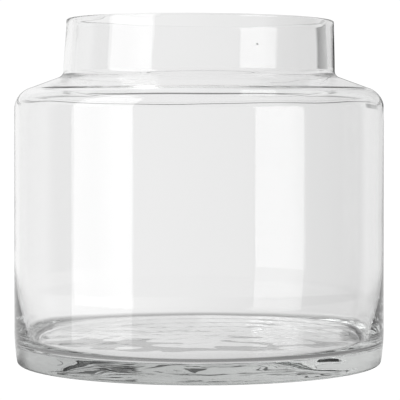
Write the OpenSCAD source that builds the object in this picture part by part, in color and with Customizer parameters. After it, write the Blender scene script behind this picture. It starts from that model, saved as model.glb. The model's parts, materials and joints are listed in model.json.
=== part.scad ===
// Clear glass cylinder vase: a wide straight-sided body, a round shoulder and a short wide collar.
// It stands on z = 0 and turns about the z axis.
// The real vase is one piece of glass. Its five zones lie on each other with no gap between them.

/* [Body] */
// Outer diameter just above the heel, where the vase is widest
body_d = 189; // [186:1:200]
// How much narrower the body is under the shoulder than at the heel
body_taper = 0.5; // [0:0.5:4]
// Height of the whole vase
vase_h = 175; // [165:1:220]
// Height where the straight wall ends and the shoulder begins
shoulder_z = 129.5; // [110:0.5:132]
// Thickness of the wall and of the shoulder
wall = 2.4; // [2:0.1:3.5]

/* [Shoulder] */
// Radius of the round bend from the wall to the shoulder
shoulder_bend = 11.5; // [9:0.5:15]
// Rise of the shoulder towards the collar, in degrees
shoulder_slope = 20; // [12:0.5:24]
// Radius of the hollow bend outside, from the shoulder to the collar
collar_bend = 3.5; // [2.5:0.5:5.5]
// Radius of the same bend on the inside
collar_bend_inside = 4.5; // [3.5:0.5:7]

/* [Collar] */
// Outer diameter of the collar
collar_d = 138.5; // [137:0.5:142]
// Inner diameter of the collar, which is the mouth of the vase
mouth_d = 132; // [124:0.5:132]
// Height of the fire-polished rim zone
rim_h = 5; // [3:0.5:8]
// Radius of the rim's two softened edges
rim_edge = 1.2; // [0.8:0.1:1.2]

/* [Base] */
// Height of the base zone, from the foot to the start of the wall zone
base_h = 24; // [22:1:30]
// Thickness of the glass at the floor
floor_t = 9.5; // [7:0.5:12]
// Radius of the hollow corner inside, from the floor to the wall
floor_corner = 7; // [3:0.5:8]
// Radius of the long bend above that corner, where the wall thickens downwards
wall_bend_inside = 250; // [200:5:300]
// Height where the wall starts to thicken
thickening_z = 50; // [45:1:60]
// Radius of the heel's lower edge
heel_edge = 2; // [1.5:0.5:4]
// Radius of the long bend above the heel, where the outside tucks in
heel_bend = 92; // [80:2:140]
// Height where the outside starts to tuck in
heel_z = 17; // [15:0.5:18]
// Diameter of the hollow under the base
punt_d = 166; // [140:1:168]
// Depth of that hollow at its middle
punt_depth = 2; // [1:0.5:4]

/* [Hidden] */
$fn = 128;

// Straight stretches that stand for each bend of the profile
arc_steps = 12;

// Radii of the outside and of the inside at the two ends of the straight wall
body_r = body_d / 2;
body_top_r = body_r - body_taper / 2;
bend_centre_r = body_top_r - shoulder_bend;
inside_r = body_r - wall - body_taper / 2 * (thickening_z - heel_z) / (shoulder_z - heel_z);

// Heights where the collar zone and the rim zone start
collar_z = collar_foot(mouth_d / 2, shoulder_bend - wall, collar_bend_inside);
rim_z = vase_h - rim_h;

// Radius of the sphere that hollows the underside
punt_r = (pow(punt_d / 2, 2) + pow(punt_depth, 2)) / (2 * punt_depth);

glass = [0.93, 0.96, 0.95, 0.4];

// Points along an arc after its start, up to and with its end
function arc(centre, radius, from, to) =
    [for (i = [1:arc_steps])
        let (angle = from + (to - from) * i / arc_steps)
        centre + radius * [cos(angle), sin(angle)]];

// Point on the shoulder where its round bend, of radius bend, meets the straight slope
function slope_start(bend) =
    [bend_centre_r + bend * sin(shoulder_slope), shoulder_z + bend * cos(shoulder_slope)];

// Height where a collar of this radius stands clear of the shoulder, past the hollow bend
function collar_foot(collar_r, bend, hollow) =
    let (start = slope_start(bend))
    start[1] + (start[0] - collar_r - hollow) * tan(shoulder_slope) + hollow / cos(shoulder_slope);

// Half-profile from the axis out: flat bottom, rounded corner, long bend and straight wall.
// The corner's circle touches the bottom and the inside of the long bend.
function body_points(bottom, corner, long_bend, bend_z, low_r, top_r) =
    let (corner_z = bottom + corner,
         lean = asin((bend_z - corner_z) / (long_bend - corner)),
         corner_r = low_r - long_bend + (long_bend - corner) * cos(lean))
    concat([[0, bottom], [corner_r, bottom]],
           arc([corner_r, corner_z], corner, -90, -lean),
           arc([low_r - long_bend, bend_z], long_bend, -lean, 0),
           [[top_r, shoulder_z]]);

// The profile goes on: round bend, straight slope, hollow bend, upright collar, back to the axis
function shoulder_points(bend, hollow, collar_r, top) =
    let (hollow_centre = [collar_r + hollow, collar_foot(collar_r, bend, hollow)])
    concat(arc([bend_centre_r, shoulder_z], bend, 0, 90 - shoulder_slope),
           [hollow_centre - hollow * [sin(shoulder_slope), cos(shoulder_slope)]],
           arc(hollow_centre, hollow, 270 - shoulder_slope, 180),
           [[collar_r, top], [0, top]]);

// The outside of the vase as one solid half-profile, with a square rim
module outside() {
    polygon(concat(
        body_points(0, heel_edge, heel_bend, heel_z, body_r, body_top_r),
        shoulder_points(shoulder_bend, collar_bend, collar_d / 2, vase_h)));
}

// The space inside the vase, open past the rim
module inside() {
    polygon(concat(
        body_points(floor_t, floor_corner, wall_bend_inside, thickening_z, inside_r,
                    body_top_r - wall),
        shoulder_points(shoulder_bend - wall, collar_bend_inside, mouth_d / 2, vase_h + 1)));
}

// The glass between two heights, turned about the z axis
module glass_zone(from_z, to_z) {
    rotate_extrude() intersection() {
        difference() {
            outside();
            inside();
        }
        translate([0, from_z]) square([body_d, to_z - from_z]);
    }
}

module glass_base() {
    color(glass) difference() {
        glass_zone(0, base_h);
        translate([0, 0, punt_depth - punt_r]) sphere(punt_r, $fn = 256);
    }
}

module glass_wall() {
    color(glass) glass_zone(base_h, shoulder_z);
}

module glass_shoulder() {
    color(glass) glass_zone(shoulder_z, collar_z);
}

module glass_collar() {
    color(glass) glass_zone(collar_z, rim_z);
}

module glass_rim() {
    inner_r = mouth_d / 2;
    outer_r = collar_d / 2;
    color(glass) rotate_extrude() {
        translate([inner_r, rim_z]) square([outer_r - inner_r, rim_h - rim_edge]);
        translate([inner_r + rim_edge, rim_z]) square([outer_r - inner_r - 2 * rim_edge, rim_h]);
        for (r = [inner_r + rim_edge, outer_r - rim_edge])
            translate([r, vase_h - rim_edge]) circle(rim_edge);
    }
}

glass_base();
glass_wall();
glass_shoulder();
glass_collar();
glass_rim();
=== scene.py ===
"""A clear glass vase with a wide straight body, a round shoulder and a short wide collar.

The vase is one seamless piece of glass that replaces the five CAD zones. Its main heights and its
mouth come from the frame, and the other sizes repeat those of part.scad. The profile is turned
round the z axis and then made a little uneven, with noise. All lengths are in metres.
"""

import json
import math

import bmesh
import bpy
from mathutils import Matrix, Vector, noise


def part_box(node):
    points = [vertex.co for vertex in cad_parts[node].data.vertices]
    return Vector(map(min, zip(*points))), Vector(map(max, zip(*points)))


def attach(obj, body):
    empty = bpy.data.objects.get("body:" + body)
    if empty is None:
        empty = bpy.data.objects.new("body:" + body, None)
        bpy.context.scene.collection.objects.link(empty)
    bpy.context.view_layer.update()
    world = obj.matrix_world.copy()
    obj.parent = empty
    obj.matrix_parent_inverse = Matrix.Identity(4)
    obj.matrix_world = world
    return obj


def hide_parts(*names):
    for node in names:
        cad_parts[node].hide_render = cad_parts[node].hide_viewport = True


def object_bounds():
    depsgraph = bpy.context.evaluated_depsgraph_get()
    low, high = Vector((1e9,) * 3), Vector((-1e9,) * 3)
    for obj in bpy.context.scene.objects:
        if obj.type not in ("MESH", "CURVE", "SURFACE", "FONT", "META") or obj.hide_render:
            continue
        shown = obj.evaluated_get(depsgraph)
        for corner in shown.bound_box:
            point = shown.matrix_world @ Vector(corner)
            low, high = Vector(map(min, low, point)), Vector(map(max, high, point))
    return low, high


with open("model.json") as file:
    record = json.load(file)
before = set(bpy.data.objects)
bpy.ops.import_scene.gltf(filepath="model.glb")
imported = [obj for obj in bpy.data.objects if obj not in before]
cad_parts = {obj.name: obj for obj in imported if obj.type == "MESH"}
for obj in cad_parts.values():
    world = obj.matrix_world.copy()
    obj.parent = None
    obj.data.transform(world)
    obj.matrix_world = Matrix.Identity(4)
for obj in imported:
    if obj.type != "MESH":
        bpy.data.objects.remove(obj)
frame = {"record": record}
CAD_LOW, CAD_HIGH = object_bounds()

MM = 0.001


# ---------------------------------------------------------------- sizes of the vase

def mount_size(name, key):
    mount = next(m for m in frame["record"]["mounts"] if m["name"] == name)
    return mount["dims"][key] * MM


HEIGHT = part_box("glass_rim")[1][2]
SHOULDER_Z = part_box("glass_shoulder")[0][2]
BODY_R = 94.5 * MM
BODY_TOP_R = 94.25 * MM
COLLAR_R = 69.25 * MM
COLLAR_FOOT_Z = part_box("glass_collar")[0][2]
MOUTH_R = mount_size("mouth", "r_mm")

WALL = 2.4 * MM
FLOOR_T = 9.5 * MM
FLOOR_CORNER = 7.0 * MM
THICKENING_BEND = 250.0 * MM
THICKENING_Z = 50.0 * MM
HEEL_EDGE = 2.0 * MM
HEEL_BEND = 92.0 * MM
HEEL_Z = 17.0 * MM
PUNT_R = 83.0 * MM
PUNT_DEPTH = 2.0 * MM
RIM_EDGE = 1.2 * MM
SHOULDER_BEND = 11.5 * MM
SHOULDER_SLOPE = math.radians(20.0)
COLLAR_BEND = 3.5 * MM
COLLAR_BEND_INSIDE = 4.5 * MM


# ---------------------------------------------------------------- camera

CAMERA_DISTANCE = 0.9936
CAMERA_HEIGHT = 0.1224
AIM = Vector((0.0005, 0.0, 0.0831))
SENSOR = 36.0
LENS = 174.6


def make_camera():
    data = bpy.data.cameras.new("camera")
    data.sensor_width = SENSOR
    data.lens = LENS
    data.clip_start = 0.1
    data.clip_end = 20.0
    camera = bpy.data.objects.new("camera", data)
    bpy.context.scene.collection.objects.link(camera)
    camera.location = (0.0, -CAMERA_DISTANCE, CAMERA_HEIGHT)
    camera.rotation_mode = "QUATERNION"
    camera.rotation_quaternion = (AIM - camera.location).to_track_quat("-Z", "Y")
    bpy.context.scene.camera = camera


make_camera()


# ---------------------------------------------------------------- node helpers

def new_material(name):
    material = bpy.data.materials.new(name)
    material.use_nodes = True
    material.node_tree.nodes.clear()
    return material


def add(tree, kind, **values):
    node = tree.nodes.new(kind)
    for key, value in values.items():
        if key in node.inputs:
            node.inputs[key].default_value = value
        else:
            setattr(node, key, value)
    return node


def fade(tree, value, from_range, to_range):
    """A smooth step of value from one range to another."""
    node = add(tree, "ShaderNodeMapRange", interpolation_type="SMOOTHSTEP")
    for name, number in zip(("From Min", "From Max", "To Min", "To Max"), from_range + to_range):
        node.inputs[name].default_value = number
    tree.links.new(value, node.inputs["Value"])
    return node.outputs[0]


def along(tree, vector, axis):
    """How far a vector reaches along an axis."""
    node = add(tree, "ShaderNodeVectorMath", operation="DOT_PRODUCT")
    tree.links.new(vector, node.inputs[0])
    node.inputs[1].default_value = axis
    return node.outputs["Value"]


# ---------------------------------------------------------------- the profile

# Straight stretches that stand for each part of the profile
CORNER_STEPS = 20
LONG_BEND_STEPS = 14
WALL_STEPS = 30
SHOULDER_STEPS = 24
SLOPE_STEPS = 8
COLLAR_STEPS = 14
FLOOR_STEPS = 40
FOOT_STEPS = 6
RIM_STEPS = 8
RIM_TOP_STEPS = 3


def arc(centre, radius, start, end, steps):
    """Points (r, z) along an arc after its start, up to and with its end. Angles are in radians."""
    points = []
    for i in range(1, steps + 1):
        angle = start + (end - start) * i / steps
        points.append((centre[0] + radius * math.cos(angle), centre[1] + radius * math.sin(angle)))
    return points


def line(start, end, steps):
    """Points (r, z) along a straight stretch after its start, up to and with its end."""
    return [(start[0] + (end[0] - start[0]) * i / steps, start[1] + (end[1] - start[1]) * i / steps)
            for i in range(1, steps + 1)]


def body_side(bottom, corner, long_bend, bend_z, low_r, top_r):
    """From the flat bottom's outer edge up the corner, the long bend and the wall to the shoulder."""
    corner_z = bottom + corner
    lean = math.asin((bend_z - corner_z) / (long_bend - corner))
    corner_r = low_r - long_bend + (long_bend - corner) * math.cos(lean)
    points = [(corner_r, bottom)]
    points += arc((corner_r, corner_z), corner, -math.pi / 2, -lean, CORNER_STEPS)
    points += arc((low_r - long_bend, bend_z), long_bend, -lean, 0, LONG_BEND_STEPS)
    points += line(points[-1], (top_r, SHOULDER_Z), WALL_STEPS)
    return points


def shoulder_side(bend, hollow, collar_r, top):
    """From the wall's top over the round bend, the slope and the hollow bend, and up the collar."""
    centre = (BODY_TOP_R - SHOULDER_BEND, SHOULDER_Z)
    points = arc(centre, bend, 0, math.pi / 2 - SHOULDER_SLOPE, SHOULDER_STEPS)
    start = points[-1]
    foot_z = (start[1] + (start[0] - collar_r - hollow) * math.tan(SHOULDER_SLOPE)
              + hollow / math.cos(SHOULDER_SLOPE))
    foot = (collar_r + hollow, foot_z)
    touch = (foot[0] - hollow * math.sin(SHOULDER_SLOPE),
             foot[1] - hollow * math.cos(SHOULDER_SLOPE))
    points += line(start, touch, SLOPE_STEPS)
    points += arc(foot, hollow, 1.5 * math.pi - SHOULDER_SLOPE, math.pi, COLLAR_STEPS)
    points += line(points[-1], (collar_r, top), COLLAR_STEPS)
    return points


def outside_points():
    """The hollow under the base, the foot ring and the outside, from the axis to under the rim."""
    heel = body_side(0, HEEL_EDGE, HEEL_BEND, HEEL_Z, BODY_R, BODY_TOP_R)
    dish = (PUNT_R ** 2 + PUNT_DEPTH ** 2) / (2 * PUNT_DEPTH)
    under = []
    for i in range(1, FLOOR_STEPS + 1):
        r = PUNT_R * i / FLOOR_STEPS
        under.append((r, PUNT_DEPTH - dish + math.sqrt(dish ** 2 - r ** 2)))
    under += line(under[-1], heel[0], FOOT_STEPS)
    return under + heel[1:] + shoulder_side(SHOULDER_BEND, COLLAR_BEND, COLLAR_R, HEIGHT - RIM_EDGE)


def inside_points():
    """The floor and the inside, from the axis to under the rim."""
    inside_r = (BODY_R - WALL
                - (BODY_R - BODY_TOP_R) * (THICKENING_Z - HEEL_Z) / (SHOULDER_Z - HEEL_Z))
    wall = body_side(FLOOR_T, FLOOR_CORNER, THICKENING_BEND, THICKENING_Z, inside_r, BODY_TOP_R - WALL)
    floor = line((0, FLOOR_T), wall[0], FLOOR_STEPS)
    return floor + wall[1:] + shoulder_side(SHOULDER_BEND - WALL, COLLAR_BEND_INSIDE, MOUTH_R,
                                            HEIGHT - RIM_EDGE)


def rim_points():
    """Over the rim's two softened edges, from the outside in."""
    top = HEIGHT - RIM_EDGE
    points = arc((COLLAR_R - RIM_EDGE, top), RIM_EDGE, 0, math.pi / 2, RIM_STEPS)
    points += line(points[-1], (MOUTH_R + RIM_EDGE, HEIGHT), RIM_TOP_STEPS)
    points += arc((MOUTH_R + RIM_EDGE, top), RIM_EDGE, math.pi / 2, math.pi, RIM_STEPS)
    return points[:-1]


# ---------------------------------------------------------------- the glass

TURN_STEPS = 288

# Each ripple's height and its length along the glass
WALL_WAVES = (0.09 * MM, 55 * MM)
WALL_STREAKS = (0.012 * MM, 34 * MM)
SHOULDER_DENTS = (0.10 * MM, 30 * MM)
FLOOR_WAVES = (0.14 * MM, 34 * MM)
FLOOR_RIPPLES = (0.05 * MM, 11 * MM)
UNDER_WAVES = (0.35 * MM, 21 * MM)
UNDER_RIPPLES = (0.15 * MM, 8 * MM)
HEEL_WAVES = (0.10 * MM, 24 * MM)
HEEL_RIPPLES = (0.015 * MM, 9 * MM)

# The collar leans and its rim dips, both towards +x, and the collar narrows towards the rim.
# The CAD collar is upright and level.
COLLAR_LEAN = 0.6 * MM
COLLAR_NARROWING = 1.0 * MM
RIM_DIP = math.radians(0.45)

# The air bubble in the collar's wall
SEED_Z = 160.5 * MM
SEED_ANGLE = math.radians(24.0)
SEED_R = 0.5 * MM


def smooth(low, high, value):
    """0 below low, 1 above high, and a smooth step between them."""
    t = min(max((value - low) / (high - low), 0.0), 1.0)
    return t * t * (3 - 2 * t)


def ripple(point, shape, seed, squash=1.0):
    """Smooth noise of a ripple's height and length. squash shortens it along z."""
    height, size = shape
    place = Vector((point.x / size + seed, point.y / size, point.z * squash / size))
    return height * noise.noise(place)


def wall_unevenness(point, z, seed):
    """How far outwards the wall's waves and level streaks and the shoulder's dents move a point."""
    wall = smooth(HEEL_Z, HEEL_Z + 20 * MM, z) * (1 - smooth(SHOULDER_Z, SHOULDER_Z + 8 * MM, z))
    band = smooth(40 * MM, 55 * MM, z) * (1 - smooth(80 * MM, 95 * MM, z))
    shoulder = smooth(SHOULDER_Z - 5 * MM, SHOULDER_Z + 5 * MM, z)
    waves = ripple(point, WALL_WAVES, seed, 0.5)
    streaks = band * ripple(point, WALL_STREAKS, seed + 3.0, 7.0)
    return wall * (waves + streaks) + shoulder * ripple(point, SHOULDER_DENTS, seed + 5.0)


def blown(r, z, angle, inside):
    """Where a point of the ideal profile lies on the uneven glass. The unevenness is invented."""
    out = Vector((math.sin(angle), -math.cos(angle), 0.0))
    point = out * r + Vector((0, 0, z))
    point += out * wall_unevenness(point, z, 7.0 if inside else 0.0)

    if inside:
        floor = 1 - smooth(FLOOR_T, FLOOR_T + 6 * MM, z)
        point.z += floor * (ripple(point, FLOOR_WAVES, 11.0) + ripple(point, FLOOR_RIPPLES, 12.0))
    else:
        hollow = 1 - smooth(PUNT_DEPTH, PUNT_DEPTH + 1 * MM, z)
        hollow *= 1 - smooth(PUNT_R, PUNT_R + 5 * MM, r)
        point.z += hollow * (abs(ripple(point, UNDER_WAVES, 13.0))
                             + abs(ripple(point, UNDER_RIPPLES, 14.0)))
        heel = smooth(0.5 * MM, 3 * MM, z) * (1 - smooth(HEEL_Z - 8 * MM, HEEL_Z, z))
        point += out * heel * (ripple(point, HEEL_WAVES, 15.0, 5.0)
                               + ripple(point, HEEL_RIPPLES, 16.0, 3.0))

    up = smooth(COLLAR_FOOT_Z, HEIGHT, z)
    point.x += COLLAR_LEAN * up
    point -= out * COLLAR_NARROWING * up
    point.z -= point.x * math.tan(RIM_DIP) * up
    return point


def add_seed(mesh):
    """A tiny air bubble in the collar's wall. Its faces look into the air, like the vase's skin."""
    before = set(mesh.faces)
    place = blown((COLLAR_R + MOUTH_R) / 2, SEED_Z, SEED_ANGLE, False)
    bmesh.ops.create_icosphere(mesh, subdivisions=3, radius=SEED_R, matrix=Matrix.Translation(place))
    bmesh.ops.reverse_faces(mesh, faces=[face for face in mesh.faces if face not in before])


def make_glass():
    """The vase's whole skin: underside, outside, rim, inside and floor, turned round the z axis."""
    profile = ([(r, z, False) for r, z in outside_points() + rim_points()]
               + [(r, z, True) for r, z in reversed(inside_points())])
    mesh = bmesh.new()
    rings = [[mesh.verts.new(blown(r, z, math.tau * k / TURN_STEPS, inside))
              for k in range(TURN_STEPS)] for r, z, inside in profile]
    for low, high in zip(rings, rings[1:]):
        for k in range(TURN_STEPS):
            n = (k + 1) % TURN_STEPS
            mesh.faces.new((low[k], low[n], high[n], high[k]))
    for ring, z, inside in ((rings[0], PUNT_DEPTH, False), (rings[-1], FLOOR_T, True)):
        middle = mesh.verts.new(blown(0, z, 0, inside))
        for k in range(TURN_STEPS):
            mesh.faces.new((middle, ring[k], ring[(k + 1) % TURN_STEPS]))
    bmesh.ops.recalc_face_normals(mesh, faces=mesh.faces)
    add_seed(mesh)
    data = bpy.data.meshes.new("vase_glass")
    mesh.to_mesh(data)
    mesh.free()
    for polygon in data.polygons:
        polygon.use_smooth = True
    piece = bpy.data.objects.new("vase_glass", data)
    bpy.context.scene.collection.objects.link(piece)
    return piece


GLASS_IOR = 1.5
GLASS_TINT = (0.52, 0.54, 0.53, 1)
GLASS_DENSITY = 6.0
SMUDGE_SCALE = 22.0
SMUDGE_ROUGHNESS = 0.02
CORD_SCALE = (9.0, 9.0, 90.0)
CORD_HEIGHT = 0.06 * MM


def add_smudges(tree, place, shader):
    """Faint patches where the glass is a little less polished."""
    smudges = add(tree, "ShaderNodeTexNoise", Scale=SMUDGE_SCALE, Detail=3.0)
    tree.links.new(place, smudges.inputs["Vector"])
    roughness = fade(tree, smudges.outputs[0], (0.45, 0.75), (0.0, SMUDGE_ROUGHNESS))
    tree.links.new(roughness, shader.inputs["Roughness"])


def add_cords(tree, place, shader):
    """Fine level streaks in the surface."""
    flat = add(tree, "ShaderNodeMapping")
    flat.inputs["Scale"].default_value = CORD_SCALE
    tree.links.new(place, flat.inputs["Vector"])
    cords = add(tree, "ShaderNodeTexNoise", Scale=1.0, Detail=2.0)
    tree.links.new(flat.outputs[0], cords.inputs["Vector"])
    bump = add(tree, "ShaderNodeBump", Strength=0.35, Distance=CORD_HEIGHT)
    tree.links.new(cords.outputs[0], bump.inputs["Height"])
    tree.links.new(bump.outputs[0], shader.inputs["Normal"])


def glass_material():
    material = new_material("clear_glass")
    tree = material.node_tree
    shader = add(tree, "ShaderNodeBsdfPrincipled")
    shader.inputs["Base Color"].default_value = (1, 1, 1, 1)
    shader.inputs["IOR"].default_value = GLASS_IOR
    shader.inputs["Transmission Weight"].default_value = 1.0
    place = add(tree, "ShaderNodeTexCoord").outputs["Object"]
    add_smudges(tree, place, shader)
    add_cords(tree, place, shader)
    body = add(tree, "ShaderNodeVolumeAbsorption")
    body.inputs["Color"].default_value = GLASS_TINT
    body.inputs["Density"].default_value = GLASS_DENSITY
    out = add(tree, "ShaderNodeOutputMaterial")
    tree.links.new(shader.outputs[0], out.inputs["Surface"])
    tree.links.new(body.outputs[0], out.inputs["Volume"])
    return material


vase = make_glass()
vase.data.materials.append(glass_material())
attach(vase, "root")
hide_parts("glass_base", "glass_wall", "glass_shoulder", "glass_collar", "glass_rim")


# ---------------------------------------------------------------- studio

# Every light and shade here is an emission set by fit. The camera sees a white floor and
# backdrop. The glass sees a small table, a softbox, a dark wall, a dark strip and the world instead.
WHITE = 1.04
WHITE_IN_GLASS = 0.87
UNDER_SHADE = 0.68
FOOT_SHADE = 0.25
DARK = 0.02
TOP_SHADE = 0.70
# Light from the left and from the right: the world's light, and the light painted on the table's two
# sides
LEFT_SIDE_LIGHT = 1.08
RIGHT_SIDE_LIGHT = 0.86

# Radii between which the shade painted on the table changes
UNDER_EDGE = (BODY_R - 17 * MM, BODY_R - 9 * MM)
FOOT_EDGE = (BODY_R - 4 * MM, BODY_R + 18 * MM)
# How far left or right on the table the painted side light changes
TABLE_LIGHT_SIDES = (-0.1, 0.1)

# How far right or up a direction points where the world's light changes
WORLD_DARK_FROM = (0.80, 0.97)
WORLD_SIDES = (-0.35, 0.35)
WORLD_TOP_FROM = (0.5, 0.9)

FLOOR_R = 6.0
FLOOR_GAP = 0.2 * MM
BACKDROP_Z = (-1.0, 6.0)
TABLE_R = 0.22
ROUND_STEPS = 96

# Places on the floor of the softbox's and the dark wall's two ends
SOFTBOX = ((-0.80, -0.154), (-0.95, -1.16))
SOFTBOX_Z = (-1.0, 1.6)
SOFTBOX_STRENGTH = 2.9
DARK_WALL = ((0.55, 2.94), (1.20, 2.75))
DARK_WALL_Z = (0.2, 0.4)
DARK_WALL_FADES = (0.08, 0.20)

# The dark strip is part of a ring round the vase, between two angles from the camera's side
STRIP_R = 3.1
STRIP_TURNS = (145, 215)
STRIP_Z = (0.46, 0.54)
STRIP_STEPS = 24
STRIP_STRENGTH = 0.15


def emission_material(name):
    material = new_material(name)
    tree = material.node_tree
    shader = add(tree, "ShaderNodeEmission")
    out = add(tree, "ShaderNodeOutputMaterial")
    tree.links.new(shader.outputs[0], out.inputs["Surface"])
    return material, shader


def even_glow(name, strength):
    """An emission material of one strength all over."""
    material, shader = emission_material(name)
    shader.inputs["Strength"].default_value = strength
    return material


def make_stage(name, vertices, faces, material):
    data = bpy.data.meshes.new(name)
    data.from_pydata(vertices, [], faces)
    data.materials.append(material)
    piece = bpy.data.objects.new(name, data)
    bpy.context.scene.collection.objects.link(piece)
    return piece


def combine(tree, operation, one, other):
    """One value worked out from two by a Math node's operation."""
    node = add(tree, "ShaderNodeMath", operation=operation)
    tree.links.new(one, node.inputs[0])
    tree.links.new(other, node.inputs[1])
    return node.outputs[0]


def upright(name, ends, heights, material):
    """A flat upright sheet between two places on the floor."""
    (start, end), (low, high) = ends, heights
    corners = [(*start, low), (*end, low), (*end, high), (*start, high)]
    return make_stage(name, corners, [(0, 1, 2, 3)], material)


def make_floor(name, radius, drop, material):
    """A round floor, drop below the vase's foot."""
    edge = []
    for k in range(ROUND_STEPS):
        turn = math.tau * k / ROUND_STEPS
        edge.append((radius * math.cos(turn), radius * math.sin(turn), CAD_LOW[2] - drop))
    return make_stage(name, edge, [tuple(range(ROUND_STEPS))], material)


def make_floor_seen():
    return make_floor("floor_seen", FLOOR_R, FLOOR_GAP, even_glow("floor_seen", WHITE))


def make_floor_in_glass():
    """The table as the glass shows it. The shade under the vase is painted on, not cast, and the table
    is painted lighter on the left than on the right.
    """
    material, shader = emission_material("floor_in_glass")
    tree = material.node_tree
    place = add(tree, "ShaderNodeNewGeometry").outputs["Position"]
    distance = add(tree, "ShaderNodeVectorMath", operation="LENGTH")
    tree.links.new(place, distance.inputs[0])
    r = distance.outputs["Value"]
    outside = fade(tree, r, FOOT_EDGE, (FOOT_SHADE, WHITE_IN_GLASS))
    under = fade(tree, r, UNDER_EDGE, (UNDER_SHADE, FOOT_SHADE))
    # Painted side light: the table is painted lighter on the left, where the softbox stands, and
    # darker on the right
    painted_side_light = fade(tree, along(tree, place, (1, 0, 0)), TABLE_LIGHT_SIDES, (LEFT_SIDE_LIGHT, RIGHT_SIDE_LIGHT))
    light = combine(tree, "MULTIPLY", combine(tree, "MAXIMUM", outside, under), painted_side_light)
    tree.links.new(light, shader.inputs["Strength"])
    floor = make_floor("floor_in_glass", TABLE_R, 2 * FLOOR_GAP, material)
    floor.visible_camera = False


def make_backdrop_seen():
    """A round wall that runs up from the floor's edge."""
    corners = []
    faces = []
    for k in range(ROUND_STEPS):
        turn = math.tau * k / ROUND_STEPS
        after = (k + 1) % ROUND_STEPS
        place = (FLOOR_R * math.cos(turn), FLOOR_R * math.sin(turn))
        corners += [(*place, BACKDROP_Z[0]), (*place, BACKDROP_Z[1])]
        faces.append((2 * k, 2 * after, 2 * after + 1, 2 * k + 1))
    return make_stage("backdrop_seen", corners, faces, even_glow("backdrop_seen", WHITE))


def make_softbox():
    """An upright softbox beside the table. It reaches below the table top."""
    glow = even_glow("softbox_left", SOFTBOX_STRENGTH)
    upright("softbox_left", SOFTBOX, SOFTBOX_Z, glow).visible_camera = False


def make_dark_wall():
    """A dark wall behind the vase to the right, for the dark edge of the collar."""
    material, shader = emission_material("dark_wall")
    tree = material.node_tree
    left_x = DARK_WALL[0][0]
    right_x = DARK_WALL[1][0]
    place = add(tree, "ShaderNodeNewGeometry").outputs["Position"]
    across = along(tree, place, (1, 0, 0))
    left = fade(tree, across, (left_x, left_x + DARK_WALL_FADES[0]), (WHITE_IN_GLASS, DARK))
    right = fade(tree, across, (right_x - DARK_WALL_FADES[1], right_x), (DARK, WHITE_IN_GLASS))
    tree.links.new(combine(tree, "MAXIMUM", left, right), shader.inputs["Strength"])
    upright("dark_wall", DARK_WALL, DARK_WALL_Z, material).visible_camera = False


def make_dark_strip():
    """A dark strip behind the vase. It makes the streaks in the base, and lines on the shoulder."""
    first, last = STRIP_TURNS
    corners = []
    for i in range(STRIP_STEPS + 1):
        angle = math.radians(first + (last - first) * i / STRIP_STEPS)
        place = (STRIP_R * math.sin(angle), -STRIP_R * math.cos(angle))
        corners += [(*place, STRIP_Z[0]), (*place, STRIP_Z[1])]
    faces = [(2 * i, 2 * i + 2, 2 * i + 3, 2 * i + 1) for i in range(STRIP_STEPS)]
    strip = make_stage("dark_strip", corners, faces, even_glow("dark_strip", STRIP_STRENGTH))
    strip.visible_camera = False


def make_world():
    """What the glass shows past the table: pale, dark far to the right and dimmer overhead."""
    world = bpy.data.worlds.new("studio")
    world.use_nodes = True
    tree = world.node_tree
    tree.nodes.clear()
    direction = add(tree, "ShaderNodeTexCoord").outputs["Generated"]
    level = add(tree, "ShaderNodeVectorMath", operation="MULTIPLY")
    tree.links.new(direction, level.inputs[0])
    level.inputs[1].default_value = (1, 1, 0)
    heading = add(tree, "ShaderNodeVectorMath", operation="NORMALIZE")
    tree.links.new(level.outputs[0], heading.inputs[0])
    to_right = along(tree, heading.outputs[0], (1, 0, 0))
    walls = fade(tree, to_right, WORLD_DARK_FROM, (WHITE_IN_GLASS, DARK))
    side = combine(tree, "MULTIPLY", walls,
                   fade(tree, to_right, WORLD_SIDES, (LEFT_SIDE_LIGHT, RIGHT_SIDE_LIGHT)))
    overhead = fade(tree, along(tree, direction, (0, 0, 1)), WORLD_TOP_FROM, (0.0, TOP_SHADE))
    shader = add(tree, "ShaderNodeBackground")
    shader.inputs["Color"].default_value = (1, 1, 1, 1)
    tree.links.new(combine(tree, "MAXIMUM", side, overhead), shader.inputs["Strength"])
    out = add(tree, "ShaderNodeOutputWorld")
    tree.links.new(shader.outputs[0], out.inputs["Surface"])
    bpy.context.scene.world = world


def set_look():
    scene = bpy.context.scene
    scene.view_settings.view_transform = "Standard"
    scene.cycles.max_bounces = 32
    scene.cycles.transmission_bounces = 32
    scene.cycles.glossy_bounces = 16


for seen in (make_floor_seen(), make_backdrop_seen()):
    seen.visible_transmission = False
    seen.visible_glossy = False
    seen.visible_diffuse = False
make_floor_in_glass()
make_softbox()
make_dark_wall()
make_dark_strip()
make_world()
set_look()
